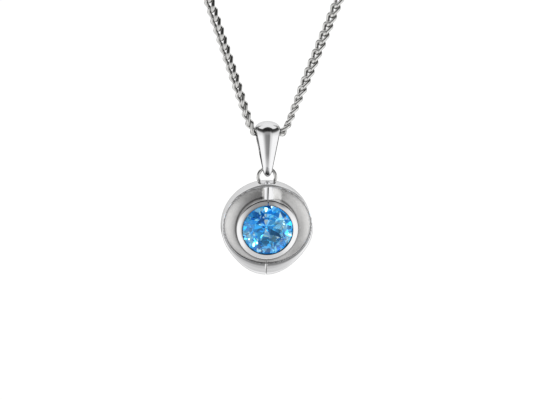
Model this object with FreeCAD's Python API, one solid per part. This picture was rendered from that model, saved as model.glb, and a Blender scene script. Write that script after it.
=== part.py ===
import FreeCAD, Part
import math
import os

# Pendant necklace: a silver pendant with a round blue stone, hanging from a curb chain.
# Millimetres, +Z up, +X to the viewer's right, the pendant faces -Y.
# The origin is the middle of the neck opening, level with the tops of the two straight chain runs.

Vector = FreeCAD.Vector

# --- driving dimensions ---------------------------------------------------------------------

FIT = 0.03                     # clearance between metal parts that hang in each other
LOOSE_FIT = 0.07               # and between the chain's ends and the clasp's rings

# Pendant body, in its own frame: origin at the disc's centre, face towards -Y.
PENDANT_HALF_WIDTH = 5.96
PENDANT_TOP = 6.1              # the outline's reach above the stone's centre
PENDANT_FOOT = 6.33            # and below it, where it comes to a slight point
PENDANT_FLANK = 5.75           # and half way between side and foot
PENDANT_DEPTH = 2.9
PENDANT_LEAN = 15.0            # degrees, how far the hanging pendant leans its top forwards
PENDANT_X = -3.64              # the pendant hangs a little off the neck's centre
SEAM_GAP = 0.06                # between the two shells
LIP_RISE = 0.55                # the bevel's centre above the disc's, so that the lips widen below
LIP_RADIUS = 5.6
BACK_EDGE = 0.35
DISH_HALF_WIDTH = 5.74
DISH_HALF_HEIGHT = 5.22
DISH_RISE = 0.6
DISH_DEPTH = 1.5
RIB_LEFT = 0.45                # ribs beside the upper seam
RIB_RIGHT = 0.8

# Setting and stone.
COLLAR_RADIUS = 4.06
COLLAR_OPENING = 3.25
COLLAR_PROUD = 0.35            # in front of the disc's rim
COLLAR_BACK = 2.2              # where the tube ends behind, from the disc's middle
COLLAR_SLOPE = 0.3
STONE_RADIUS = 3.5
STONE_TABLE = 0.56             # share of the stone's radius
GIRDLE_THICKNESS = 0.12
GIRDLE_Y = -1.3                # the girdle's middle plane
CROWN_ANGLE = 34.0
STAR_ANGLE = 22.0
UPPER_ANGLE = 40.0
PAVILION_ANGLE = 40.8
LOWER_ANGLE = 42.3
CROWN_HEIGHT = 0.3             # share of the radius
SEAT_THICKNESS = 0.9
SEAT_CLEARANCE = 0.09          # under the girdle, for the facets' scalloped edge
LEDGE_CLEARANCE = 0.25         # over the girdle, for the same

# Hanging eye, jump ring and bail.
EYE_RADIUS = 0.62
EYE_WIRE = 0.24
RING_RADIUS = 1.15
RING_WIRE = 0.215
EYE_HEIGHT = 5.0               # of the eye's centre above the disc's centre
RING_SWING = 20.0              # degrees to each side
BAIL_CREST = 0.9               # thickness over the chain
BAIL_OPENING = 0.95            # radius of the opening that the chain lies in
BAIL_SLACK = 0.08              # the opening's centre above the chain's
BAIL_HEIGHT = 7.35
BAIL_ARCH = 1.64
BAIL_TOP_WIDTH = 1.5           # half widths of the front
BAIL_FOOT_WIDTH = 0.46
BAIL_FOOT_DEPTH = 0.5
DOME_TOP = 2.2                 # half width of the domed section

# Chain.
CHAIN_WIRE = 0.2               # radius
LINK_HALF_LENGTH = 0.865       # to the wire's centre line
LINK_HALF_WIDTH = 0.66
LINK_TWIST = math.radians(43)  # the wire's twist out of the link's plane, to each side
LINK_PITCH = 1.3
CHAIN_DROP = 85.0              # from the neck opening's level to the chain's lowest run
LEFT_LEAN = 0.329              # sideways run per unit of height
RIGHT_LEAN = 0.408
LEFT_CORNER = -1.69            # where the runs meet the level of the bail, from the pendant's middle
RIGHT_CORNER = 2.25
BAIL_X = 0.17                  # the bail's middle, from the pendant's middle
CORNER_RADIUS = 1.9
DRAPE_Y = -45.0
NECK_POINTS = [(42.5, -31.5, 18.0), (49.5, -7.0, 28.5), (45.5, 19.5, 33.5), (29.0, 39.5, 35.5)]
NAPE_Y = 46.0
NAPE_Z = 36.0
ARC_SHARE = 0.45
LOWER_TOP = -58.0              # levels where the hanging runs are divided
MIDDLE_TOP = -31.0
UPPER_TOP = -6.0
NODE_LINKS = 22                # the most links in one node
TWIST_AT_BAIL = 80.0           # degrees that the links are turned about the chain
# Distance along the run and turn there, with straight steps between.
LEFT_TWIST = ((0, TWIST_AT_BAIL), (2, TWIST_AT_BAIL), (8, 57), (16, 50), (34, 30), (70, 0))
RIGHT_TWIST = ((0, TWIST_AT_BAIL), (2, TWIST_AT_BAIL), (10, 127), (45, 127), (90, 180))

# Clasp at the nape: a bolt ring between two closed rings.
CLASP_RADIUS = 2.4
CLASP_TUBE = 0.6
CLASP_BORE = 0.42
CLASP_SOLID_FROM = 200.0       # degrees round the ring from +X towards +Z
GAP_FROM, GAP_TO = 42.0, 88.0
SLOT_FROM, SLOT_TO = 100.0, 152.0
SLOT_HALF_WIDTH = 0.22
SOCKET_FROM = 30.0
BOLT_FROM, BOLT_TO = 33.0, 124.0
BOLT_WIRE = 0.38
KNOB_AT = 106.0
KNOB_WIRE = 0.2
KNOB_HEIGHT = 0.95
KNOB_HEAD = 0.34
SPRING_FROM, SPRING_TO = 124.5, 198.0
SPRING_OUTER, SPRING_INNER = 0.36, 0.22
CLASP_EYE_RADIUS, CLASP_EYE_WIRE = 0.78, 0.25
CLASP_RING_RADIUS, CLASP_RING_WIRE = 1.3, 0.28
END_RING_RADIUS, END_RING_WIRE = 1.55, 0.27
CLASP_X = 1.0                  # the bolt ring's centre

# --- heights worked out from the dimensions ---------------------------------------------------

CHAIN_Z = -CHAIN_DROP
BAIL_OPENING_Z = CHAIN_Z + BAIL_SLACK
BAIL_TOP = BAIL_OPENING_Z + BAIL_OPENING + BAIL_CREST
BAIL_FOOT = BAIL_TOP - BAIL_HEIGHT
RING_TOP = BAIL_FOOT + 2 * BAIL_FOOT_DEPTH + RING_WIRE - 0.05
RING_Z = RING_TOP - RING_RADIUS
RING_BOTTOM = RING_Z - RING_RADIUS
EYE_Y = PENDANT_DEPTH / 2 + RING_WIRE + 0.12
FRONT = -PENDANT_DEPTH / 2
BACK = PENDANT_DEPTH / 2

X_AXIS, Y_AXIS, Z_AXIS = Vector(1, 0, 0), Vector(0, 1, 0), Vector(0, 0, 1)
BIG = 30.0


def save(node, shape):
    shape.exportStep("parts/" + node + ".step")


def disc(radius, start, end, x=0.0, z=0.0):
    """A cylinder along Y from start to end."""
    return Part.makeCylinder(radius, end - start, Vector(x, start, z), Y_AXIS)


def cone(radius_start, radius_end, start, end, z=0.0):
    return Part.makeCone(radius_start, radius_end, end - start, Vector(0, start, z), Y_AXIS)


def block(low, high):
    size = high - low
    return Part.makeBox(size.x, size.y, size.z, low)


def torus_span(radius, wire, start, end):
    """Part of a ring round the Y axis, between two angles from +X towards +Z."""
    span = Part.makeTorus(radius, wire, Vector(0, 0, 0), Z_AXIS, -180, 180, end - start)
    span.rotate(Vector(0, 0, 0), Z_AXIS, start)
    span.rotate(Vector(0, 0, 0), X_AXIS, 90)
    return span


def place_pendant(shape):
    """From the pendant's own frame to where it hangs: its eye rests on the jump ring's foot."""
    placed = shape.copy()
    placed.rotate(Vector(0, 0, 0), X_AXIS, PENDANT_LEAN)
    placed.translate(pendant_centre())
    return placed


def pendant_centre():
    lean = math.radians(PENDANT_LEAN)
    slack = EYE_RADIUS - EYE_WIRE - RING_WIRE - FIT
    eye = Vector(0, EYE_Y, EYE_HEIGHT)
    turned_y = eye.y * math.cos(lean) - eye.z * math.sin(lean)
    turned_z = eye.y * math.sin(lean) + eye.z * math.cos(lean)
    return Vector(PENDANT_X, DRAPE_Y - turned_y, RING_BOTTOM - slack - turned_z)


# --- the pendant --------------------------------------------------------------------------------

def pendant_outline():
    """Nearly round, with flattened lower flanks that meet at a slight point."""
    left, right = Vector(-PENDANT_HALF_WIDTH, FRONT, 0), Vector(PENDANT_HALF_WIDTH, FRONT, 0)
    flank = PENDANT_FLANK * math.sqrt(0.5)
    foot = Vector(0, FRONT, -PENDANT_FOOT)
    outline = Part.Wire([
        Part.Arc(left, Vector(0, FRONT, PENDANT_TOP), right).toShape(),
        Part.Arc(right, Vector(flank, FRONT, -flank), foot).toShape(),
        Part.Arc(foot, Vector(-flank, FRONT, -flank), left).toShape()])
    return Part.Face(outline).extrude(Vector(0, PENDANT_DEPTH, 0))


def pendant_disc():
    """The round body: bevelled lips in front, widest below, and a chamfered back edge."""
    body = pendant_outline()
    body = body.common(cone(LIP_RADIUS, LIP_RADIUS + 2 * PENDANT_DEPTH, FRONT, BACK, LIP_RISE))
    reach = PENDANT_TOP - BACK_EDGE
    back = cone(reach + PENDANT_DEPTH, reach, FRONT, BACK)
    return body.common(back)


def dish():
    """The hollow in the face: an ellipsoid, left out where the two ribs join collar and rim."""
    hollow = Part.makeSphere(1.0)
    stretch = FreeCAD.Matrix()
    stretch.A11 = DISH_HALF_WIDTH
    stretch.A22 = DISH_DEPTH
    stretch.A33 = DISH_HALF_HEIGHT
    hollow = hollow.transformGeometry(stretch)
    hollow.translate(Vector(0, FRONT, DISH_RISE))
    ribs = block(Vector(-RIB_LEFT, FRONT - BIG, 0), Vector(RIB_RIGHT, BIG, BIG))
    return hollow.cut(ribs)


def shells():
    """The left and right shells, which meet at a seam above and below the stone."""
    body = pendant_disc().cut(dish()).cut(disc(COLLAR_RADIUS, -BIG, BIG))
    half = SEAM_GAP / 2
    left = body.common(block(Vector(-BIG, -BIG, -BIG), Vector(-half, BIG, BIG)))
    right = body.common(block(Vector(half, -BIG, -BIG), Vector(BIG, BIG, BIG)))
    return left.Solids[0], right.Solids[0]


def collar():
    """The tube that holds the stone, its front sloped in to the stone and slit at the upper seam."""
    front = FRONT - COLLAR_PROUD
    tube = disc(COLLAR_RADIUS, front, COLLAR_BACK)
    slope = cone(COLLAR_RADIUS - COLLAR_SLOPE, COLLAR_RADIUS + BIG, front, front + BIG + COLLAR_SLOPE)
    tube = tube.common(slope)
    girdle_front = GIRDLE_Y - GIRDLE_THICKNESS / 2
    opening = disc(COLLAR_OPENING, front - 1, girdle_front)
    tube = tube.cut(opening).cut(disc(STONE_RADIUS + FIT, girdle_front - LEDGE_CLEARANCE, BIG))
    slit = block(Vector(-SEAM_GAP / 2, front - 1, 0), Vector(SEAM_GAP / 2, FRONT, BIG))
    return tube.cut(slit).Solids[0]


def seat():
    """The bearing under the stone: a ring with a sloped face below the girdle."""
    start = GIRDLE_Y + GIRDLE_THICKNESS / 2 + SEAT_CLEARANCE
    end = start + SEAT_THICKNESS
    ring = disc(STONE_RADIUS + FIT, start, end)
    drop = SEAT_THICKNESS / math.tan(math.radians(PAVILION_ANGLE))
    return ring.cut(cone(STONE_RADIUS + FIT, STONE_RADIUS + FIT - drop, start, end))


def facet(shape, azimuth, slope, radius, depth):
    """Cut the stone with one plane, through the point at this radius and depth along +Y or -Y."""
    turn = math.radians(azimuth)
    out = Vector(math.cos(turn), 0, math.sin(turn))
    tilt = math.radians(slope)
    normal = out * math.sin(tilt) + Vector(0, math.copysign(math.cos(tilt), depth), 0)
    point = out * radius + Vector(0, depth, 0)
    waste = Part.makeBox(BIG, BIG, BIG, Vector(-BIG / 2, -BIG / 2, 0))
    waste.Placement = FreeCAD.Placement(point, FreeCAD.Rotation(Z_AXIS, normal))
    return shape.cut(waste)


def stone():
    """A round brilliant, built facing -Y about its girdle and cut facet by facet."""
    crown = STONE_RADIUS * CROWN_HEIGHT
    half = GIRDLE_THICKNESS / 2
    gem = disc(STONE_RADIUS, -crown - half, STONE_RADIUS)
    table = STONE_RADIUS * STONE_TABLE
    eighth = 360 / 8
    for step in range(8):
        main = step * eighth
        gem = facet(gem, main, PAVILION_ANGLE, STONE_RADIUS, half)
        gem = facet(gem, main, CROWN_ANGLE, STONE_RADIUS, -half)
        gem = facet(gem, main + eighth / 2, STAR_ANGLE, table, -crown - half)
        for side in (-1, 1):
            girdle_facet = main + side * eighth / 4
            gem = facet(gem, girdle_facet, LOWER_ANGLE, STONE_RADIUS, half)
            gem = facet(gem, girdle_facet, UPPER_ANGLE, STONE_RADIUS, -half)
    gem.translate(Vector(0, GIRDLE_Y, 0))
    return gem.Solids[0]


def hanging_eye():
    """The wire eye soldered to the pendant's back; the jump ring runs through it."""
    eye = Part.makeTorus(EYE_RADIUS, EYE_WIRE, Vector(0, EYE_Y, EYE_HEIGHT), X_AXIS)
    return eye.common(block(Vector(-BIG, BACK, -BIG), Vector(BIG, BIG, BIG))).Solids[0]


# --- jump ring and bail -------------------------------------------------------------------------

def ring_centre():
    return Vector(PENDANT_X + BAIL_X / 2, DRAPE_Y, RING_Z)


def jump_ring():
    return Part.makeTorus(RING_RADIUS, RING_WIRE, ring_centre(), Y_AXIS)


def teardrop(top_radius, top_z, foot_radius, foot_z, half_width):
    """A slab along X whose outline is two circles joined by their common tangents."""
    height = top_z - foot_z
    lean = math.asin((top_radius - foot_radius) / height)
    points = []
    for radius, z in ((top_radius, top_z), (foot_radius, foot_z)):
        points.append(Vector(0, radius * math.cos(lean), z + radius * math.sin(lean)))
    upper, lower = points
    upper_far, lower_far = Vector(0, -upper.y, upper.z), Vector(0, -lower.y, lower.z)
    outline = Part.Wire([
        Part.Arc(upper_far, Vector(0, 0, top_z + top_radius), upper).toShape(),
        Part.LineSegment(upper, lower).toShape(),
        Part.Arc(lower, Vector(0, 0, foot_z - foot_radius), lower_far).toShape(),
        Part.LineSegment(lower_far, upper_far).toShape()])
    slab = Part.Face(outline).extrude(Vector(2 * half_width, 0, 0))
    slab.translate(Vector(-half_width, 0, 0))
    return slab


def bail_front():
    """The bail's front outline, an arched top tapering to a narrow foot, run through from front to back."""
    shoulder_z = BAIL_TOP - BAIL_ARCH * (1 - math.sqrt(1 - (BAIL_TOP_WIDTH / BAIL_ARCH) ** 2))
    foot_z = BAIL_FOOT + BAIL_FOOT_WIDTH
    left, right = Vector(-BAIL_TOP_WIDTH, 0, shoulder_z), Vector(BAIL_TOP_WIDTH, 0, shoulder_z)
    foot_left, foot_right = Vector(-BAIL_FOOT_WIDTH, 0, foot_z), Vector(BAIL_FOOT_WIDTH, 0, foot_z)
    outline = Part.Wire([
        Part.Arc(left, Vector(0, 0, BAIL_TOP), right).toShape(),
        Part.LineSegment(right, foot_right).toShape(),
        Part.Arc(foot_right, Vector(0, 0, BAIL_FOOT), foot_left).toShape(),
        Part.LineSegment(foot_left, left).toShape()])
    front = Part.Face(outline).extrude(Vector(0, BIG, 0))
    front.translate(Vector(0, -BIG / 2, 0))
    return front


def level_ellipse(half_x, half_y, z):
    if half_x >= half_y:
        curve = Part.Ellipse(Vector(half_x, 0, z), Vector(0, half_y, z), Vector(0, 0, z))
    else:
        curve = Part.Ellipse(Vector(0, half_y, z), Vector(-half_x, 0, z), Vector(0, 0, z))
    return Part.Wire(curve.toShape())


def bail():
    """A cast loop: domed outside, thick over the chain, its legs drawn together at the foot."""
    top_radius = BAIL_OPENING + BAIL_CREST
    top_z = BAIL_TOP - top_radius
    foot_z = BAIL_FOOT + BAIL_FOOT_DEPTH
    outer = teardrop(top_radius, top_z, BAIL_FOOT_DEPTH, foot_z, DOME_TOP)
    opening = teardrop(BAIL_OPENING, BAIL_OPENING_Z, RING_WIRE + FIT, RING_TOP, DOME_TOP + 1)
    slope = (top_radius - BAIL_FOOT_DEPTH) / (top_z - foot_z)
    sections = []
    for z in (BAIL_TOP + 1, BAIL_FOOT - 0.2):
        depth = BAIL_FOOT_DEPTH + slope * (z - foot_z)
        share = depth / top_radius
        sections.append(level_ellipse(DOME_TOP * share, depth * 1.02, z))
    dome = Part.makeLoft(sections, True, True)
    loop = outer.common(bail_front()).common(dome).cut(opening)
    loop.translate(Vector(PENDANT_X + BAIL_X, DRAPE_Y, 0))
    return clear_ring(loop).Solids[0]


def clear_ring(loop):
    """Hollow the foot so that the ring can swing to both sides in it."""
    pivot = Vector(ring_centre().x, DRAPE_Y, RING_TOP)
    for swing in (-RING_SWING, 0, RING_SWING):
        room = Part.makeTorus(RING_RADIUS, RING_WIRE + FIT, ring_centre(), Y_AXIS)
        room.rotate(pivot, Y_AXIS, swing)
        loop = loop.cut(room)
    return loop


# --- the chain's route --------------------------------------------------------------------------

def straight(start, end):
    return {"length": (end - start).Length, "start": start, "along": (end - start).normalize()}


def bend(corner, before, after, radius):
    """A tangent arc at a corner, with the points where it starts and ends."""
    back, ahead = (before - corner).normalize(), (after - corner).normalize()
    turn = math.pi - back.getAngle(ahead)
    cut = radius * math.tan(turn / 2)
    start, end = corner + back * cut, corner + ahead * cut
    centre = corner + (back + ahead).normalize() * (radius / math.cos(turn / 2))
    return {"length": radius * turn, "centre": centre, "from_centre": (start - centre).normalize(),
            "along": back * -1, "radius": radius, "start": start, "end": end}


def widest_radius(corner, before, after):
    shorter = min((before - corner).Length, (after - corner).Length)
    turn = math.pi - (before - corner).getAngle(after - corner)
    return ARC_SHARE * shorter / math.tan(turn / 2)


def make_route(points, radii):
    pieces, start = [], points[0]
    for i in range(1, len(points) - 1):
        arc = bend(points[i], points[i - 1], points[i + 1], radii[i])
        pieces += [straight(start, arc["start"]), arc]
        start = arc["end"]
    return pieces + [straight(start, points[-1])]


def point_on(route, distance):
    for piece in route:
        if distance <= piece["length"] or piece is route[-1]:
            break
        distance -= piece["length"]
    if "centre" not in piece:
        return piece["start"] + piece["along"] * distance
    angle = distance / piece["radius"]
    arm = piece["from_centre"] * math.cos(angle) + piece["along"] * math.sin(angle)
    return piece["centre"] + arm * piece["radius"]


def side_points(side, clasp_end):
    """One side's corners from the middle of the bail, up the straight run and round the neck."""
    corner_x = PENDANT_X + (LEFT_CORNER if side < 0 else RIGHT_CORNER)
    lean = LEFT_LEAN if side < 0 else RIGHT_LEAN
    points = [Vector(PENDANT_X + BAIL_X, DRAPE_Y, CHAIN_Z), Vector(corner_x, DRAPE_Y, CHAIN_Z),
              Vector(corner_x + side * lean * CHAIN_DROP, DRAPE_Y, 0)]
    points += [Vector(side * x, y, z) for x, y, z in NECK_POINTS]
    points += [Vector(clasp_end + side * 10, NAPE_Y, NAPE_Z), Vector(clasp_end, NAPE_Y, NAPE_Z)]
    return points


def side_route(side, clasp_end):
    points = side_points(side, clasp_end)
    radii = [0, CORNER_RADIUS]
    radii += [widest_radius(points[i], points[i - 1], points[i + 1]) for i in range(2, len(points) - 1)]
    return make_route(points, radii)


def step_along(route, distance, chord):
    """The next distance along the route whose point is one chord away."""
    low, high = distance, distance + 1.5 * chord
    here = point_on(route, distance)
    for _ in range(40):
        middle = (low + high) / 2
        if (point_on(route, middle) - here).Length < chord:
            low = middle
        else:
            high = middle
    return low


def joint_points(route, pitch):
    """The points where links meet; the first link lies half on each side of the bail's middle."""
    total = sum(piece["length"] for piece in route)
    marks = [pitch / 2]
    while marks[-1] + pitch * 0.5 < total:
        marks.append(step_along(route, marks[-1], pitch))
    return marks, total


def fitted_points(route):
    """Adjust the pitch by a hair so that the last link ends at the clasp."""
    low, high = LINK_PITCH * 0.995, LINK_PITCH * 1.003
    count = len(joint_points(route, LINK_PITCH)[0])
    for _ in range(30):
        middle = (low + high) / 2
        marks, total = joint_points(route, middle)
        if len(marks) < count or (len(marks) == count and marks[-1] > total):
            high = middle
        else:
            low = middle
    return [(mark, point_on(route, mark)) for mark in joint_points(route, low)[0]]


def twist_at(side, distance):
    """How far a link is turned about the chain: the runs lie flat high up and twist near the bail."""
    stops = LEFT_TWIST if side < 0 else RIGHT_TWIST
    for (start, before), (end, after) in zip(stops, stops[1:]):
        if distance < end:
            return math.radians(before + (after - before) * (distance - start) / (end - start)) * side
    return math.radians(stops[-1][1]) * side


def clasp_ends():
    """Where the chain's last wires lie, left and right of the clasp."""
    eye_x = CLASP_X - CLASP_RADIUS - CLASP_TUBE - CLASP_EYE_RADIUS + 0.1
    ring_right = eye_x - CLASP_EYE_RADIUS + CLASP_EYE_WIRE + CLASP_RING_WIRE + FIT
    ring_left = ring_right - 2 * CLASP_RING_RADIUS
    left = ring_left + CLASP_RING_WIRE + LOOSE_FIT
    hook = CLASP_X + CLASP_RADIUS - CLASP_TUBE - END_RING_WIRE - FIT
    right = hook + 2 * END_RING_RADIUS - END_RING_WIRE - LOOSE_FIT
    return {"eye": eye_x, "ring": (ring_left + ring_right) / 2, "left": left,
            "end_ring": hook + END_RING_RADIUS, "right": right}


def turned(width, along, angle):
    return width * math.cos(angle) + along.cross(width) * math.sin(angle)


def lay_links(side, marks, end_turn):
    """Links as (start, end, width direction); end_turn is spread over the part round the neck."""
    width = Y_AXIS.cross(X_AXIS * side)
    links = []
    for (mark, start), (_, finish) in zip(marks, marks[1:]):
        along = (finish - start).normalize()
        width = (width - along * width.dot(along)).normalize()
        round_neck = max(0.0, (mark - CHAIN_DROP) / (marks[-2][0] - CHAIN_DROP))
        links.append((start, finish, turned(width, along, twist_at(side, mark) + end_turn * round_neck)))
    return links


def turn_to_clasp(last_link):
    """The turn that stands the last link's end wire upright, across its level ring."""
    start, finish, width = last_link
    along = (finish - start).normalize()
    wire = turned(width, along, LINK_TWIST)
    angle = math.atan2(along.cross(wire).dot(Z_AXIS), wire.dot(Z_AXIS))
    return (angle + math.pi / 2) % math.pi - math.pi / 2


def chain_links():
    """Every link of both sides, from the bail outwards, and the one link that lies in the bail."""
    ends = clasp_ends()
    sides = {}
    for side, end in ((-1, ends["left"]), (1, ends["right"])):
        marks = fitted_points(side_route(side, end))
        end_turn = turn_to_clasp(lay_links(side, marks, 0.0)[-1])
        sides[side] = lay_links(side, marks, end_turn)
    tilt = turned(Y_AXIS.cross(X_AXIS), X_AXIS, math.radians(TWIST_AT_BAIL))
    return sides, (sides[-1][0][0], sides[1][0][0], tilt)


# --- one link -----------------------------------------------------------------------------------

def link_edges():
    """The wire's centre line: a skewed four-cornered loop with its corners rounded."""
    a, b = LINK_HALF_LENGTH, LINK_HALF_WIDTH
    c, s = b * math.cos(LINK_TWIST), b * math.sin(LINK_TWIST)
    corners = [Vector(a, c, s), Vector(a, -c, -s), Vector(-a, -c, s), Vector(-a, c, -s)]
    arcs = []
    for i in range(4):
        before, corner, after = corners[i - 1], corners[i], corners[(i + 1) % 4]
        turn = math.pi - (before - corner).getAngle(after - corner)
        radius = b * 0.999 / math.tan(turn / 2)
        arcs.append(bend(corner, before, after, radius))
    edges = []
    for arc, following in zip(arcs, arcs[1:] + arcs[:1]):
        middle = arc["centre"] + (arc["start"] + arc["end"] - arc["centre"] * 2).normalize() * arc["radius"]
        edges.append(Part.Arc(arc["start"], middle, arc["end"]).toShape())
        edges.append(Part.LineSegment(arc["end"], following["start"]).toShape())
    return edges


def make_link():
    """A round wire swept round the loop, started in the middle of one long side."""
    edges = link_edges()
    longest = max(range(len(edges)), key=lambda i: edges[i].Length if i % 2 else 0)
    side = edges[longest]
    start, end = side.valueAt(side.FirstParameter), side.valueAt(side.LastParameter)
    middle = (start + end) * 0.5
    loop = [Part.LineSegment(middle, end).toShape()] + edges[longest + 1:] + edges[:longest]
    loop.append(Part.LineSegment(start, middle).toShape())
    section = Part.Wire(Part.Circle(middle, end - start, CHAIN_WIRE).toShape())
    skin = Part.Shell(Part.Wire(loop).makePipe(section).Faces)
    skin.sewShape()
    return Part.Solid(skin)


def place_link(link, start, end, width):
    along = (end - start).normalize()
    across = (width - along * width.dot(along)).normalize()
    up = along.cross(across)
    turn = FreeCAD.Rotation(along, across, up, "XYZ")
    placed = link.copy()
    placed.Placement = FreeCAD.Placement((start + end) * 0.5, turn)
    return placed


# --- the clasp ----------------------------------------------------------------------------------

def clasp_body():
    """The bolt ring's hollow C, with a slot for the thumb piece and an eye for its ring."""
    body = torus_span(CLASP_RADIUS, CLASP_TUBE, GAP_TO, 360 + GAP_FROM)
    body = body.cut(torus_span(CLASP_RADIUS, CLASP_BORE, GAP_TO - 2, CLASP_SOLID_FROM))
    body = body.cut(torus_span(CLASP_RADIUS, CLASP_BORE, SOCKET_FROM, GAP_FROM + 2))
    sector = slot_sector()
    eye_x = clasp_ends()["eye"] - CLASP_X
    eye = Part.makeTorus(CLASP_EYE_RADIUS, CLASP_EYE_WIRE, Vector(eye_x, 0, 0), Y_AXIS)
    eye = eye.cut(torus_span(CLASP_RADIUS, CLASP_BORE + 0.05, 150, 210))
    return at_nape(body.cut(sector).fuse(eye).removeSplitter().Solids[0])


def slot_sector():
    """The thin curved slot in the outer wall of the tube."""
    inner, outer = CLASP_RADIUS, CLASP_RADIUS + CLASP_TUBE + 0.2
    depth = SLOT_HALF_WIDTH + FIT
    ring = disc(outer, -depth, depth).cut(disc(inner, -depth, depth))
    start = Part.makeCylinder(outer + 1, 2 * depth, Vector(0, -depth, 0), Y_AXIS, SLOT_TO - SLOT_FROM)
    from_z = start.CenterOfMass
    lead = math.degrees(math.atan2(from_z.z, from_z.x))
    start.rotate(Vector(0, 0, 0), Y_AXIS, lead - (SLOT_FROM + SLOT_TO) / 2)
    return ring.common(start)


def knob_direction():
    angle = math.radians(KNOB_AT)
    return Vector(math.cos(angle), 0, math.sin(angle))


def clasp_bolt():
    """The curved bolt and its thumb piece, which slides in the slot."""
    bolt = torus_span(CLASP_RADIUS, BOLT_WIRE, BOLT_FROM, BOLT_TO)
    out = knob_direction()
    stem = Part.makeCylinder(KNOB_WIRE, KNOB_HEIGHT, out * CLASP_RADIUS, out)
    head = Part.makeSphere(KNOB_HEAD, out * (CLASP_RADIUS + KNOB_HEIGHT))
    return at_nape(bolt.fuse(stem).fuse(head).removeSplitter().Solids[0])


def clasp_spring():
    """The outer shape of the coil spring behind the bolt."""
    coil = torus_span(CLASP_RADIUS, SPRING_OUTER, SPRING_FROM, SPRING_TO)
    return at_nape(coil.cut(torus_span(CLASP_RADIUS, SPRING_INNER, SPRING_FROM - 1, SPRING_TO + 1)))


def at_nape(shape):
    shape.translate(Vector(CLASP_X, NAPE_Y, NAPE_Z))
    return shape


def clasp_rings():
    """The closed rings at the chain's two ends, lying level."""
    ends = clasp_ends()
    left = Part.makeTorus(CLASP_RING_RADIUS, CLASP_RING_WIRE, Vector(ends["ring"], NAPE_Y, NAPE_Z), Z_AXIS)
    right = Part.makeTorus(END_RING_RADIUS, END_RING_WIRE, Vector(ends["end_ring"], NAPE_Y, NAPE_Z), Z_AXIS)
    return left, right


# --- nodes --------------------------------------------------------------------------------------

def section_of(link, side):
    """The chain section that a link belongs to, by the level of its lower end."""
    start = link[0]
    name = "left" if side < 0 else "right"
    if start.y > DRAPE_Y + 0.01 or start.z > UPPER_TOP:
        return "neck_chain_" + name
    if start.z > MIDDLE_TOP:
        return "upper_chain_" + name
    if start.z > LOWER_TOP:
        return "middle_chain_" + name
    return "lower_chain_" + name


def chain_sections():
    """The links of each section in order, and the one link that lies in the bail."""
    sides, middle = chain_links()
    sections = {"bail_link": [middle]}
    for side, links in sides.items():
        for link in links:
            sections.setdefault(section_of(link, side), []).append(link)
    return sections


def split_evenly(links):
    parts = math.ceil(len(links) / NODE_LINKS)
    size = math.ceil(len(links) / parts)
    return [links[i:i + size] for i in range(0, len(links), size)]


def save_chain():
    link = make_link()
    for section, links in chain_sections().items():
        groups = split_evenly(links)
        for number, group in enumerate(groups, 1):
            node = section if len(groups) == 1 else section + "_" + str(number)
            save(node, Part.makeCompound([place_link(link, *placed) for placed in group]))


def main():
    os.makedirs("parts", exist_ok=True)
    left, right = shells()
    pendant = {"left_shell": left, "right_shell": right, "stone_collar": collar(), "stone_seat": seat(),
               "blue_stone": stone(), "hanging_eye": hanging_eye()}
    for node, shape in pendant.items():
        save(node, place_pendant(shape))
    save("jump_ring", jump_ring())
    save("bail", bail())
    save("clasp_body", clasp_body())
    save("clasp_bolt", clasp_bolt())
    save("clasp_spring", clasp_spring())
    left_ring, right_ring = clasp_rings()
    save("clasp_left_ring", left_ring)
    save("clasp_end_ring", right_ring)
    save_chain()


if __name__ == "__main__":
    main()
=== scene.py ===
import bmesh
import bpy
import math
from mathutils import Matrix, Vector


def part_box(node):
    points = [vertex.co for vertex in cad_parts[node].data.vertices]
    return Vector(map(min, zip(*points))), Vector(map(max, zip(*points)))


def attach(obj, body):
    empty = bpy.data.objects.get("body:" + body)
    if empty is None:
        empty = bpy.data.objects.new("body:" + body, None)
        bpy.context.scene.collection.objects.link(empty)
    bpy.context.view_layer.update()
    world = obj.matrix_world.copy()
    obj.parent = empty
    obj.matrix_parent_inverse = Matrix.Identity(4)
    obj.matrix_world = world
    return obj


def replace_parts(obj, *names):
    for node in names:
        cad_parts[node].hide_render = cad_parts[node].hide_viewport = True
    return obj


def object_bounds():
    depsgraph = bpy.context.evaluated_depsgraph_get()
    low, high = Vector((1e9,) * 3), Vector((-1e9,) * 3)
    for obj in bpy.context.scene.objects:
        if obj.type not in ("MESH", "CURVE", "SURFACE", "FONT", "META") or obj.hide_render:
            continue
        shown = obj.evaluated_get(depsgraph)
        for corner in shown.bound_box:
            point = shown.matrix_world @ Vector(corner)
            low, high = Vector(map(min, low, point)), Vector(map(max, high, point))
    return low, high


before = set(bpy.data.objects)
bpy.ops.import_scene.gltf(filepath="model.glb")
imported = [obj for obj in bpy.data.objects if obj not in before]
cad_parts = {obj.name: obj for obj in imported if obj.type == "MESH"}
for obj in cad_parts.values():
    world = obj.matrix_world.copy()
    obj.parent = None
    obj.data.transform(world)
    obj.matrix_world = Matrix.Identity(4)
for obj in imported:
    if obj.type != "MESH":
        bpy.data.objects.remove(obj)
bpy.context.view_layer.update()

# ============================================================================================
# Polished silver: sterling silver with a bright rhodium plating, used on every metal piece.
# Faint polishing marks break up the shine, and the plating is a little duller in places.
# ============================================================================================


def new_material(name):
    material = bpy.data.materials.new(name)
    material.use_nodes = True
    return material, material.node_tree.nodes, material.node_tree.links


def add_node(nodes, kind, **inputs):
    node = nodes.new(kind)
    for key, value in inputs.items():
        node.inputs[key.replace("_", " ")].default_value = value
    return node


SHADE_SHUT, SHADE_OPEN = 0.25, 0.75    # painted crevice shade: share of open air at which a spot is painted darkest, and at which it is left bright
SHADE_SAMPLES = 8
CLOUD_SHARE = 0.05             # the plating's dull clouds against the grain: 20 times as large
GRAIN_HEIGHT = 0.00002


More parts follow.
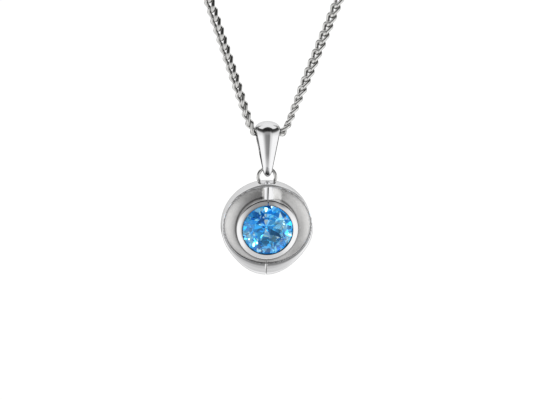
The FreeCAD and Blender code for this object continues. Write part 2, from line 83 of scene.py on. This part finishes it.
def silver(name, colour, dull, shiny, scale, depth, darkest_shade=0.12, reach=0.00045):
    """Silver whose roughness wanders between shiny and dull, with a fine grain of polishing marks.
    Its corners and crevices get painted shade: where ambient occlusion finds little open air, the
    base colour is darkened."""
    material, nodes, links = new_material(name)
    shader = nodes["Principled BSDF"]
    shader.inputs["Metallic"].default_value = 1.0
    # Painted shade: ambient occlusion darkens the base colour in corners and crevices, down to a
    # given share of it.
    crevice_shade = add_node(nodes, "ShaderNodeAmbientOcclusion", Distance=reach)
    crevice_shade.samples = SHADE_SAMPLES
    shade_level = add_node(nodes, "ShaderNodeMapRange", From_Min=SHADE_SHUT, From_Max=SHADE_OPEN,
                       To_Min=darkest_shade)
    tone = nodes.new("ShaderNodeMix")
    tone.data_type = "RGBA"
    tone.inputs[6].default_value = (0, 0, 0, 1)
    tone.inputs[7].default_value = (*colour, 1)
    links.new(crevice_shade.outputs["AO"], shade_level.inputs["Value"])
    links.new(shade_level.outputs["Result"], tone.inputs[0])
    links.new(tone.outputs[2], shader.inputs["Base Color"])
    place = nodes.new("ShaderNodeTexCoord")
    cloud = add_node(nodes, "ShaderNodeTexNoise", Scale=scale * CLOUD_SHARE, Detail=3.0)
    spread = add_node(nodes, "ShaderNodeMapRange", To_Min=shiny, To_Max=dull)
    grain = add_node(nodes, "ShaderNodeTexNoise", Scale=scale, Detail=4.0)
    bump = add_node(nodes, "ShaderNodeBump", Strength=depth, Distance=GRAIN_HEIGHT)
    links.new(place.outputs["Object"], cloud.inputs["Vector"])
    links.new(cloud.outputs["Fac"], spread.inputs["Value"])
    links.new(spread.outputs["Result"], shader.inputs["Roughness"])
    links.new(place.outputs["Object"], grain.inputs["Vector"])
    links.new(grain.outputs["Fac"], bump.inputs["Height"])
    links.new(bump.outputs["Normal"], shader.inputs["Normal"])
    return material


polished_silver = silver("polished_silver", colour=(0.93, 0.93, 0.94), dull=0.09, shiny=0.04,
                         scale=9000, depth=0.08)


def dress(node, material):
    """Gives a CAD piece its finish."""
    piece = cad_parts[node]
    for held in piece.material_slots:
        held.material = material
    return piece


# ============================================================================================
# Curb chain: hundreds of round-wire links, each bent out of a flat oval so that the next one
# nests against it, soldered shut and tumbled bright. The links are the CAD model's, and only
# their wire is a little fuller.
# ============================================================================================

FULLER_WIRE = 0.000045         # how far polishing and solder round the wire out

# Painted shade: the chain's crevices are darkened almost to black, over twice the reach, which
# paints the dark centres between the links.
chain_silver = silver("chain_silver", colour=(0.8, 0.795, 0.78), dull=0.14, shiny=0.08,
                      scale=12000, depth=0.15, darkest_shade=0.02, reach=0.0009)

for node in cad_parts:
    if "chain" in node or node == "bail_link":
        filled = dress(node, chain_silver).modifiers.new("fuller_wire", "DISPLACE")
        filled.strength = FULLER_WIRE
        filled.mid_level = 0.0

# ============================================================================================
# Bolt ring clasp: a hollow C of drawn tube with a sprung bolt inside, its thumb piece in a slot,
# and a closed ring at each end of the chain, all in polished silver.
# ============================================================================================

for node in ("clasp_body", "clasp_bolt", "clasp_left_ring", "clasp_end_ring"):
    dress(node, polished_silver)

spring_steel = silver("spring_steel", colour=(0.55, 0.55, 0.56), dull=0.35, shiny=0.25,
                      scale=9000, depth=0.2)
dress("clasp_spring", spring_steel)

# ============================================================================================
# Bail: a cast silver loop over the chain. Its outside is domed, it is thickest over the chain,
# and its two legs taper to the narrow foot that the jump ring runs through.
# ============================================================================================

MM = 0.001
BAIL_OPENING = 0.95 * MM
BAIL_CREST = 0.9 * MM
BAIL_HALF_WIDTH = 1.5 * MM
FOOT_HALF_WIDTH = 0.46 * MM
FOOT_OPENING = 0.25 * MM
FOOT_WALL = 1.05 * MM
FOOT_SHARE = 0.28              # of the loop's depth, left at the foot
LEG_CURVE = 1.5                # above 1 the legs leave the top without a crease
SHOULDER = 0.55                # below 1 the loop stays wide below its top
DOME_CURVE = 1.2               # 1 is an ellipse, 2 a parabola
FOOT_CURVE = 0.45              # how much blunter the dome is at the foot
SHOULDER_FLARE = 0.1           # how much wider the top is than the legs
BAIL_STEPS = 128
SECTION_STEPS = 24
WELD = 1e-7                    # points nearer than this are one
CREASE = math.radians(40)      # a sharper fold than this stays an edge


def finish_mesh(form, name):
    """A smooth-shaded object from a bmesh, with its faces pointing outwards."""
    bmesh.ops.remove_doubles(form, verts=form.verts, dist=WELD)
    bmesh.ops.recalc_face_normals(form, faces=form.faces)
    mesh = bpy.data.meshes.new(name)
    form.to_mesh(mesh)
    form.free()
    mesh.shade_smooth()
    mesh.set_sharp_from_angle(angle=CREASE)
    piece = bpy.data.objects.new(name, mesh)
    bpy.context.collection.objects.link(piece)
    return piece


def domed_ring(half_width, inner, outer, sections, steps):
    """A ring round X: flat inside, domed outside, spun from one section."""
    form = bmesh.new()
    section = []
    for i in range(sections + 1):
        turn = math.pi * i / sections
        height = inner + (outer - inner) * math.sin(turn) ** DOME_CURVE
        section.append(form.verts.new((-half_width * math.cos(turn), 0, height)))
    edges = [form.edges.new(pair) for pair in zip(section, section[1:] + section[:1])]
    bmesh.ops.spin(form, geom=section + edges, cent=(0, 0, 0), axis=(1, 0, 0), dvec=(0, 0, 0),
                   angle=2 * math.pi, steps=steps, use_merge=True, use_duplicate=False)
    return form


def smooth_level(value):
    """0 up to a value of 0, rising smoothly to 1 at a value of 1."""
    value = min(1.0, max(0.0, value))
    return value * value * (3 - 2 * value)


low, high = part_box("bail")
bail_middle = (low[0] + high[0]) / 2
bail_depth = (low[1] + high[1]) / 2
opening_z = high[2] - BAIL_CREST - BAIL_OPENING
drop = opening_z - low[2]
bail_reach = BAIL_OPENING + BAIL_CREST
bail_form = domed_ring(BAIL_HALF_WIDTH, BAIL_OPENING, bail_reach, SECTION_STEPS, BAIL_STEPS)
for corner in bail_form.verts:
    x, y, z = corner.co
    if z < 0:
        turn = math.atan2(abs(y), -z)                     # 0 at the foot, half pi at the opening
        down = math.cos(turn)
        spread = math.copysign(math.sin(turn) ** SHOULDER, y)
        wall = (math.hypot(y, z) - BAIL_OPENING) / BAIL_CREST
        wall = max(0.0, wall) ** (1 - FOOT_CURVE * down)
        drawn_in = down ** LEG_CURVE
        inside_y = (BAIL_OPENING + (FOOT_OPENING - BAIL_OPENING) * drawn_in) * spread
        outside_y = bail_reach * (1 - (1 - FOOT_SHARE) * drawn_in) * spread
        y = inside_y + (outside_y - inside_y) * wall
        z = -down * (drop - FOOT_WALL * (1 - wall))
        x *= 1 + (FOOT_HALF_WIDTH / BAIL_HALF_WIDTH - 1) * min(1.0, -z / drop)
    x *= 1 + SHOULDER_FLARE * smooth_level(z / BAIL_CREST)
    corner.co = (bail_middle + x, bail_depth + y, opening_z + z)
bail = finish_mesh(bail_form, "bail_loop")
bail.data.materials.append(polished_silver)
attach(bail, "bail")
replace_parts(bail, "bail")

# ============================================================================================
# Jump ring: a small ring of round silver wire, soldered shut, that joins bail and pendant. It
# runs through the bail's foot and the eye behind the pendant, and is as dull as the chain.
# ============================================================================================

RING_WIRE = 0.215 * MM
RING_SIDES = 16
RING_STEPS = 48

low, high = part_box("jump_ring")
ring_middle = (Vector(low) + Vector(high)) / 2
ring_radius = (high[0] - low[0]) / 2 - RING_WIRE
ring_form = bmesh.new()
wire = bmesh.ops.create_circle(ring_form, segments=RING_SIDES, radius=RING_WIRE,
                               matrix=Matrix.Translation((ring_radius, 0, 0)))
wire_edges = list({edge for corner in wire["verts"] for edge in corner.link_edges})
bmesh.ops.spin(ring_form, geom=wire["verts"] + wire_edges, cent=(0, 0, 0), axis=(0, 1, 0),
               dvec=(0, 0, 0), angle=2 * math.pi, steps=RING_STEPS, use_merge=True,
               use_duplicate=False)
bmesh.ops.translate(ring_form, verts=ring_form.verts, vec=ring_middle)
jump_ring = finish_mesh(ring_form, "jump_ring_wire")
jump_ring.data.materials.append(chain_silver)
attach(jump_ring, "jump_ring")
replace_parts(jump_ring, "jump_ring")

# ============================================================================================
# Shells: two cast silver halves that meet at a seam above and below the stone. Each has a thin
# rim, a satin hollow, a rib beside the upper seam and a rounded lip that widens towards the foot.
# ============================================================================================

OUTLINE_SIDE = 5.96 * MM
OUTLINE_TOP = 6.1 * MM
OUTLINE_FOOT = 6.33 * MM
OUTLINE_DIP = 0.3 * MM         # how much the lower flanks are flattened
PENDANT_HALF_DEPTH = 1.45 * MM
PENDANT_LEAN = math.radians(15)
COLLAR_RADIUS = 4.06 * MM
COLLAR_FRONT, COLLAR_BACK = -1.8 * MM, 2.2 * MM
DISH_HALF_WIDTH, DISH_HALF_HEIGHT = 5.8 * MM, 5.24 * MM
DISH_RISE = 0.56 * MM
DISH_DEPTH = 1.4 * MM
DISH_EDGE = 0.03               # share of the hollow over which its wall drops
SEAM = 0.06 * MM
RIM_JOINED = 5.55 * MM         # above the hollow the two rims are joined without a gap
RIM_JOIN_FADE = 0.1 * MM
RIM_WALL = 0.15 * MM           # of the side wall, which follows the face
BACK_EDGE = ((0.0, 0.5 * MM), (0.1 * MM, 0.12 * MM), (0.35 * MM, 0.0))    # inwards, and forwards
RIB_LEFT, RIB_RIGHT = 0.42 * MM, 0.4 * MM
RIB_LEFT_FALL, RIB_RIGHT_FALL = 0.3 * MM, 1.5 * MM
RIB_ROUND = 0.16 * MM
LIP_DEPTH = 1.0 * MM
LIP_SHARE = 0.6                # a narrow lip is this much of its width deep
LIP_NARROWEST = 0.05 * MM
LIP_CURVE = 2.2
SEAM_ROUND, SEAM_REACH = 0.05 * MM, 0.1 * MM

low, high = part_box("stone_collar")
collar_middle = (Vector(low) + Vector(high)) / 2
lean = Matrix.Rotation(PENDANT_LEAN, 4, "X")
to_place = (Matrix.Translation(collar_middle) @ lean
            @ Matrix.Translation((0, -(COLLAR_FRONT + COLLAR_BACK) / 2, 0)))


def outline_reach(x, z):
    """From the stone's centre to the outline: round above, with flatter flanks and a foot below."""
    reach = math.hypot(x, z)
    if z >= 0:
        return 1 / math.hypot(x / reach / OUTLINE_SIDE, z / reach / OUTLINE_TOP)
    down, aside = (z / reach) ** 2, (x / reach) ** 2
    return OUTLINE_SIDE + (OUTLINE_FOOT - OUTLINE_SIDE) * down ** 2 - 4 * OUTLINE_DIP * down * aside


def dish_edge(x, z):
    """How far a point lies out from the hollow's middle: 1 on the hollow's outer edge."""
    return math.hypot(x / DISH_HALF_WIDTH, (z - DISH_RISE) / DISH_HALF_HEIGHT)


def rib_share(x, z):
    """0 on the ribs beside the upper seam, 1 in the open hollow."""
    if z < 0:
        return 1.0
    if x < 0:
        return smooth_level((-x - RIB_LEFT) / RIB_LEFT_FALL)
    return smooth_level((x - RIB_RIGHT) / RIB_RIGHT_FALL)


def face_depth(x, z):
    """How far the face lies behind the plane of the rim."""
    out = dish_edge(x, z)
    rib = rib_share(x, z)
    if out < 1:
        wall = smooth_level((1 - out) / DISH_EDGE)
        hollow = DISH_DEPTH * math.sqrt(1 - out ** 2) * wall
        crown = RIB_ROUND * min(1.0, (x / RIB_LEFT) ** 2)
        return hollow * rib + crown * (1 - rib) * wall
    reach = math.hypot(x, z)
    edge_reach = reach / out
    width = max(outline_reach(x, z) - edge_reach, LIP_NARROWEST)
    share = min(1.0, (reach - edge_reach) / width)
    lip = min(width * LIP_SHARE, LIP_DEPTH) * (1 - math.sqrt(max(0.0, 1 - share ** LIP_CURVE)))
    beside = math.exp(-(x / SEAM_REACH) ** 2) * SEAM_ROUND if z < 0 else 0.0
    return lip + beside * (1 - share)


satin_silver = silver("satin_silver", colour=(0.86, 0.855, 0.845), dull=0.38, shiny=0.3,
                      scale=26000, depth=0.4)

FACE_STEPS = 40
HALF_TURN_STEPS = 150
SATIN_FROM = 0.1               # of the rib's fall
FACE_UNTIL = 0.9               # of the half depth: what lies further back isn't the face
JUST_UNDER, JUST_OVER = 0.9999, 1.001


def spin_open(form, section, start, side, turn, steps):
    """Spins a closed section about Y from a starting angle, and caps both of its ends."""
    edges = [form.edges.new(pair) for pair in zip(section, section[1:] + section[:1])]
    bmesh.ops.rotate(form, verts=form.verts, cent=(0, 0, 0), matrix=Matrix.Rotation(start, 3, "Y"))
    spun = bmesh.ops.spin(form, geom=section + edges, cent=(0, 0, 0), axis=(0, side, 0),
                          dvec=(0, 0, 0), angle=turn, steps=steps, use_duplicate=False)
    last = [item for item in spun["geom_last"] if isinstance(item, bmesh.types.BMEdge)]
    bmesh.ops.contextual_create(form, geom=edges)
    bmesh.ops.contextual_create(form, geom=last)


def shell(name, side):
    """One half: a section through wall, face and back, spun half a turn, then its face is shaped."""
    form = bmesh.new()
    half = PENDANT_HALF_DEPTH
    inner, outer = COLLAR_RADIUS, OUTLINE_SIDE
    points = [(inner, half), (inner, -half)]
    points += [(inner + (outer - inner) * i / FACE_STEPS, -half) for i in range(1, FACE_STEPS + 1)]
    points += [(outer, -half + RIM_WALL)]
    points += [(outer - inwards, half - forwards) for inwards, forwards in BACK_EDGE]
    section = [form.verts.new((0, y, r)) for r, y in points]
    start = math.asin(SEAM / outer) * side
    spin_open(form, section, start, side, math.pi - 2 * abs(start), HALF_TURN_STEPS)
    for corner in form.verts:
        x, y, z = corner.co
        reach = math.hypot(x, z)
        out = (reach - inner) / (outer - inner)
        grown = 1 + (outline_reach(x, z) / outer - 1) * out
        at_seam = z > 0 and abs(x) < SEAM * JUST_OVER
        closed = smooth_level((reach - RIM_JOINED) / RIM_JOIN_FADE) if at_seam else 0.0
        corner.co.x, corner.co.z = x * grown * (1 - closed), z * grown
        if y < -half + RIM_WALL * JUST_OVER:
            at_rim = min(1.0, outline_reach(x, z) * JUST_UNDER / (reach * grown))
            corner.co.y = y + face_depth(x * grown * at_rim, z * grown * at_rim)
    for face in form.faces:
        middle = face.calc_center_median()
        beyond_wall = math.hypot(middle.x, middle.z) > inner * JUST_OVER
        hollow = middle.y < half * FACE_UNTIL and beyond_wall
        off_rib = rib_share(middle.x, middle.z) > SATIN_FROM
        in_dish = dish_edge(middle.x, middle.z) < 1 - DISH_EDGE and off_rib
        face.material_index = 1 if hollow and in_dish else 0
    bmesh.ops.transform(form, matrix=to_place, verts=form.verts)
    piece = finish_mesh(form, name)
    piece.data.materials.append(polished_silver)
    piece.data.materials.append(satin_silver)
    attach(piece, "pendant")
    return piece


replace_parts(shell("left_shell_cast", -1), "left_shell")
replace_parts(shell("right_shell_cast", 1), "right_shell")

# ============================================================================================
# Collar: the polished tube that holds the stone, its front rubbed over the girdle and rounded.
# It is slit above the stone, where the two shells meet, and its inner edge lies in shade.
# ============================================================================================

# Painted shade: this near-black silver goes on the collar's inner edge in place of the shade that
# falls there.
shaded_silver = silver("shaded_silver", colour=(0.1, 0.1, 0.12), dull=0.3, shiny=0.2,
                       scale=9000, depth=0.2)

COLLAR_OPENING = 3.25 * MM
COLLAR_EDGE = 3.35 * MM
COLLAR_INSIDE = 3.53 * MM
COLLAR_SLIT = 0.05 * MM
COLLAR_STEPS = 160

# Radius and depth, from the back of the outside, over the rounded front, to the back of the inside.
collar_profile = ((COLLAR_RADIUS, COLLAR_BACK), (COLLAR_RADIUS, -1.36 * MM), (4.05 * MM, -1.43 * MM),
                  (4.0 * MM, -1.51 * MM), (3.85 * MM, -1.6 * MM), (3.6 * MM, -1.7 * MM),
                  (3.4 * MM, COLLAR_FRONT), (COLLAR_EDGE, COLLAR_FRONT),
                  (COLLAR_OPENING, -1.64 * MM), (COLLAR_OPENING, -1.6 * MM),
                  (COLLAR_INSIDE, -1.58 * MM), (COLLAR_INSIDE, COLLAR_BACK))
collar_form = bmesh.new()
collar_section = [collar_form.verts.new((0, y, r)) for r, y in collar_profile]
slit_turn = math.asin(COLLAR_SLIT / COLLAR_OPENING)
spin_open(collar_form, collar_section, slit_turn, 1, 2 * (math.pi - slit_turn), COLLAR_STEPS)
# The collar's inner edge, in front, gets the painted shade.
for face in collar_form.faces:
    middle = face.calc_center_median()
    around = math.hypot(middle.x, middle.z)
    face.material_index = 1 if around < COLLAR_EDGE and middle.y < 0 else 0
bmesh.ops.transform(collar_form, matrix=to_place, verts=collar_form.verts)
collar = finish_mesh(collar_form, "collar_tube")
collar.data.materials.append(polished_silver)
collar.data.materials.append(shaded_silver)
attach(collar, "pendant")
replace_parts(collar, "stone_collar")
for node in ("stone_seat", "hanging_eye"):
    dress(node, polished_silver)

# ============================================================================================
# Stone: a round brilliant of blue topaz, 7 mm across, with flat polished facets. Seen from inside,
# the facets below the girdle throw the light back like mirrors, tinted cell by cell with painted
# flashes from deep blue to white: partly the topaz's own blue, partly painted light and shade. They
# also give off a painted glow in the same tints.
# ============================================================================================

CROWN_TINT = (0.8, 0.95, 1.0)
TOPAZ_INDEX = 1.62
PAVILION_FROM = 0.3            # how far a facet has to face the back
FACET_SHIFT = 0.01
FLASH_SCALE = 900.0
FLASH_SCATTER = 0.2            # how far a flash is thrown aside
PAINTED_GLOW = 0.17              # painted glow: the pavilion's inside gives off light in the flash tints, in place of light that the whole crown takes in
# The flash tints are partly the topaz's own blue and partly painted light: the deep blue stops are
# painted shade, the pale and white ones painted highlights.
PAINTED_FLASH_TINTS = ((0.15, (0.01, 0.17, 0.45)), (0.35, (0.06, 0.46, 0.95)), (0.6, (0.18, 0.68, 1.0)),
               (0.72, (0.7, 0.95, 1.0)), (0.85, (1.0, 1.0, 1.0)))


def worked(nodes, links, kind, operation, *values):
    """A math node on these values, each a number, a vector or another node's output."""
    node = nodes.new(kind)
    node.operation = operation
    for socket, value in zip(node.inputs, values):
        if isinstance(value, bpy.types.NodeSocket):
            links.new(value, socket)
        else:
            socket.default_value = value
    return node.outputs


topaz, topaz_nodes, topaz_links = new_material("blue_topaz")


def stone_math(operation, *values):
    return worked(topaz_nodes, topaz_links, "ShaderNodeMath", operation, *values)["Value"]


def stone_vector(operation, *values):
    return worked(topaz_nodes, topaz_links, "ShaderNodeVectorMath", operation, *values)


glass = topaz_nodes["Principled BSDF"]
glass.inputs["Base Color"].default_value = (*CROWN_TINT, 1)
glass.inputs["Roughness"].default_value = 0.0
glass.inputs["IOR"].default_value = TOPAZ_INDEX
glass.inputs["Transmission Weight"].default_value = 1.0
facing = topaz_nodes.new("ShaderNodeNewGeometry").outputs
outwards = topaz_nodes.new("ShaderNodeVectorTransform")
outwards.vector_type = "NORMAL"
outwards.convert_from, outwards.convert_to = "WORLD", "OBJECT"
topaz_links.new(facing["True Normal"], outwards.inputs["Vector"])
# A ray from inside meets a normal turned towards it: minus one turns it back.
sign = stone_math("MULTIPLY_ADD", facing["Backfacing"], -2.0, 1.0)
turned_back = topaz_nodes.new("ShaderNodeVectorMath")
turned_back.operation = "SCALE"
topaz_links.new(outwards.outputs["Vector"], turned_back.inputs[0])
topaz_links.new(sign, turned_back.inputs["Scale"])
true_side = turned_back.outputs["Vector"]
depthwise = stone_vector("DOT_PRODUCT", true_side, lean.to_3x3() @ Vector((0, 1, 0)))["Value"]
pavilion = stone_math("GREATER_THAN", depthwise, PAVILION_FROM)
inside_pavilion = stone_math("MULTIPLY", pavilion, facing["Backfacing"])
inside = topaz_nodes.new("ShaderNodeTexCoord")
per_facet = stone_vector("MULTIPLY_ADD", true_side, (FACET_SHIFT,) * 3, inside.outputs["Object"])
flashes = add_node(topaz_nodes, "ShaderNodeTexVoronoi", Scale=FLASH_SCALE)
topaz_links.new(per_facet["Vector"], flashes.inputs["Vector"])
# Painted flashes: every cell of the pavilion's mirror gets a tint of its own, from painted shade to
# painted highlight.
painted_flash_tints = topaz_nodes.new("ShaderNodeValToRGB")
topaz_links.new(flashes.outputs["Color"], painted_flash_tints.inputs["Fac"])
while len(painted_flash_tints.color_ramp.elements) < len(PAINTED_FLASH_TINTS):
    painted_flash_tints.color_ramp.elements.new(0.5)
for stop, (place, tint) in zip(painted_flash_tints.color_ramp.elements, PAINTED_FLASH_TINTS):
    stop.position, stop.color = place, (*tint, 1)
mirror = add_node(topaz_nodes, "ShaderNodeBsdfGlossy", Roughness=0.0)
topaz_links.new(painted_flash_tints.outputs["Color"], mirror.inputs["Color"])
towards = stone_vector("SUBTRACT", facing["Normal"], (FLASH_SCATTER / 2,) * 3)["Vector"]
scattered = stone_vector("MULTIPLY_ADD", flashes.outputs["Color"], (FLASH_SCATTER,) * 3, towards)
topaz_links.new(stone_vector("NORMALIZE", scattered["Vector"])["Vector"], mirror.inputs["Normal"])
# Painted glow: the inside of the pavilion gives off light of its own, in the flash tints.
painted_glow = add_node(topaz_nodes, "ShaderNodeEmission", Strength=PAINTED_GLOW)
topaz_links.new(painted_flash_tints.outputs["Color"], painted_glow.inputs["Color"])
gathered = topaz_nodes.new("ShaderNodeAddShader")
topaz_links.new(mirror.outputs["BSDF"], gathered.inputs[0])
topaz_links.new(painted_glow.outputs["Emission"], gathered.inputs[1])
either = topaz_nodes.new("ShaderNodeMixShader")
topaz_links.new(inside_pavilion, either.inputs["Fac"])
topaz_links.new(glass.outputs["BSDF"], either.inputs[1])
topaz_links.new(gathered.outputs["Shader"], either.inputs[2])
topaz_links.new(either.outputs["Shader"], topaz_nodes["Material Output"].inputs["Surface"])
dress("blue_stone", topaz)

# ============================================================================================
# Floor: a plain pale disc well below the pendant, fading out at its edge. It is not part of the
# necklace, and the polished metal doesn't mirror it.
# ============================================================================================

FLOOR_GAP = 0.35
FLOOR_RADIUS = 0.6
FLOOR_SIDES = 96
FLOOR_TONES = (0.88, 0.92)

low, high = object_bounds()
floor_form = bmesh.new()
bmesh.ops.create_circle(floor_form, cap_ends=True, segments=FLOOR_SIDES, radius=FLOOR_RADIUS)
floor = finish_mesh(floor_form, "floor")
floor.location.z = low[2] - FLOOR_GAP
floor.visible_glossy = False
floor_material, floor_nodes, floor_links = new_material("pale_floor")
floor_shader = floor_nodes["Principled BSDF"]
floor_place = floor_nodes.new("ShaderNodeTexCoord")
paper = add_node(floor_nodes, "ShaderNodeTexNoise", Scale=40.0, Detail=5.0)
tone = add_node(floor_nodes, "ShaderNodeMapRange", To_Min=FLOOR_TONES[0], To_Max=FLOOR_TONES[1])
floor_links.new(floor_place.outputs["Object"], paper.inputs["Vector"])
floor_links.new(paper.outputs["Fac"], tone.inputs["Value"])
floor_links.new(tone.outputs["Result"], floor_shader.inputs["Base Color"])
floor_shader.inputs["Roughness"].default_value = 0.9
from_middle = worked(floor_nodes, floor_links, "ShaderNodeVectorMath", "LENGTH",
                     floor_place.outputs["Object"])
fade = add_node(floor_nodes, "ShaderNodeMapRange", From_Min=FLOOR_GAP, From_Max=FLOOR_RADIUS,
                To_Min=1.0, To_Max=0.0)
fade.interpolation_type = "SMOOTHSTEP"
floor_links.new(from_middle["Value"], fade.inputs["Value"])
floor_links.new(fade.outputs["Result"], floor_shader.inputs["Alpha"])
floor.data.materials.append(floor_material)

# ============================================================================================
# Studio: a white tent all round, with a narrow dark gap in front where the lens looks in, a
# darker band where its roof meets its front, and one large soft lamp above.
# ============================================================================================

ARCH_BOW, ARCH_MOST = 0.9, 0.22   # how the dark band at the roof bends down to the sides
SEEN_WHITE = 1.05
# Brightness by height, from -1 straight down to 1 straight up.
FRONT_WALL = ((-1.0, 0.64), (-0.8, 0.7), (-0.45, 1.0), (0.0, 1.0), (0.3, 0.8), (0.58, 0.1),
              (0.7, 0.04), (0.9, 0.04), (0.935, 0.8), (1.0, 0.85))
BACK_WALL = ((-1.0, 0.9), (-0.6, 0.75), (-0.35, 0.06), (-0.07, 0.06), (0.03, 0.66),
             (0.5, 0.72), (0.9, 0.82), (1.0, 0.85))
# Shares by turn from straight ahead, in radians.
BEHIND = ((-2.25, 1.0), (-1.8, 0.0), (1.8, 0.0), (2.25, 1.0))
LENS_GAP = ((-0.95, 0.0), (-0.2, 0.86), (0.17, 0.9), (0.4, 0.3), (0.8, 0.0))
LENS_GAP_HEIGHT = ((-0.9, 0.0), (-0.7, 0.3), (-0.54, 0.84), (-0.1, 0.88), (0.15, 0.75),
                   (0.35, 0.68), (0.6, 0.9), (0.9, 0.0))

world = bpy.data.worlds.new("studio")
bpy.context.scene.world = world
world.use_nodes = True
sky, sky_links = world.node_tree.nodes, world.node_tree.links


def sky_math(operation, *values):
    return worked(sky, sky_links, "ShaderNodeMath", operation, *values)["Value"]


def sky_profile(value, reach, stops):
    """A brightness that runs through these stops as the value goes from -reach to reach."""
    curve = sky.new("ShaderNodeValToRGB")
    curve.color_ramp.interpolation = "EASE"
    while len(curve.color_ramp.elements) < len(stops):
        curve.color_ramp.elements.new(1.0)
    for element, (place, tone) in zip(curve.color_ramp.elements, stops):
        element.position = (place / reach + 1) / 2
        element.color = (tone, tone, tone, 1)
    sky_links.new(sky_math("MULTIPLY_ADD", value, 0.5 / reach, 0.5), curve.inputs["Fac"])
    return curve.outputs["Color"]


def sky_blend(factor, first, second):
    return sky_math("ADD", sky_math("MULTIPLY", first, sky_math("SUBTRACT", 1.0, factor)),
                    sky_math("MULTIPLY", second, factor))


direction = sky.new("ShaderNodeTexCoord")
parts = sky.new("ShaderNodeSeparateXYZ")
sky_links.new(direction.outputs["Generated"], parts.inputs["Vector"])
across, ahead, up = parts.outputs
sideways = sky_math("ARCTAN2", across, sky_math("MULTIPLY", ahead, -1.0))
bow = sky_math("MULTIPLY", sky_math("MULTIPLY", across, across), ARCH_BOW)
arch = sky_math("ADD", up, sky_math("MINIMUM", bow, ARCH_MOST))
front_wall = sky_profile(arch, 1.0, FRONT_WALL)
back_wall = sky_profile(up, 1.0, BACK_WALL)
is_behind = sky_profile(sideways, math.pi, BEHIND)
lens_gap = sky_profile(sideways, math.pi, LENS_GAP)
gap_height = sky_profile(up, 1.0, LENS_GAP_HEIGHT)
walls = sky_blend(is_behind, front_wall, back_wall)
darkness = sky_math("MULTIPLY", lens_gap, gap_height)
brightness = sky_math("MULTIPLY", walls, sky_math("SUBTRACT", 1.0, darkness))
seen = sky.new("ShaderNodeLightPath")
chosen = sky.new("ShaderNodeMix")
sky_links.new(seen.outputs["Is Camera Ray"], chosen.inputs["Factor"])
sky_links.new(brightness, chosen.inputs["A"])
chosen.inputs["B"].default_value = SEEN_WHITE
sky_links.new(chosen.outputs["Result"], sky["Background"].inputs["Strength"])
sky["Background"].inputs["Color"].default_value = (1, 1, 1, 1)

LAMP_SIZE, LAMP_POWER = 0.4, 2.0
LAMP_PLACE = (-0.15, -0.55, 0.3)
LAMP_AIM = (0, -0.045, -0.09)

lamp = bpy.data.objects.new("soft_lamp", bpy.data.lights.new("soft_lamp", "AREA"))
lamp.data.size = LAMP_SIZE
lamp.data.energy = LAMP_POWER
lamp.visible_glossy = False
lamp.location = LAMP_PLACE
lamp.rotation_euler = (Vector(LAMP_AIM) - lamp.location).to_track_quat("-Z", "Y").to_euler()
bpy.context.collection.objects.link(lamp)

# ============================================================================================
# Camera: level with the pendant, a little to the wearer's right, with a long lens. It sees the
# pendant and the lower ends of the two chain runs.
# ============================================================================================

CAMERA_AWAY = 0.55
FRAME_WIDTH = 0.0698           # of what the camera sees, in the plane of the pendant
CAMERA_TURN = math.radians(-5)
AIM_ABOVE = 0.0035             # above the pendant's middle
SENSOR_WIDTH = 36              # in millimetres, as the lens is

pendant_middle = to_place @ Vector((0, 0, 0))
aim = Vector((pendant_middle.x, pendant_middle.y, pendant_middle.z + AIM_ABOVE))
camera = bpy.data.objects.new("camera", bpy.data.cameras.new("camera"))
camera.location = aim + CAMERA_AWAY * Vector((math.sin(CAMERA_TURN), -math.cos(CAMERA_TURN), 0))
camera.rotation_euler = (aim - camera.location).to_track_quat("-Z", "Y").to_euler()
camera.data.sensor_width = SENSOR_WIDTH
camera.data.lens = SENSOR_WIDTH * CAMERA_AWAY / FRAME_WIDTH
camera.data.clip_start = 0.01
bpy.context.collection.objects.link(camera)
bpy.context.scene.camera = camera
bpy.context.scene.view_settings.view_transform = "Standard"
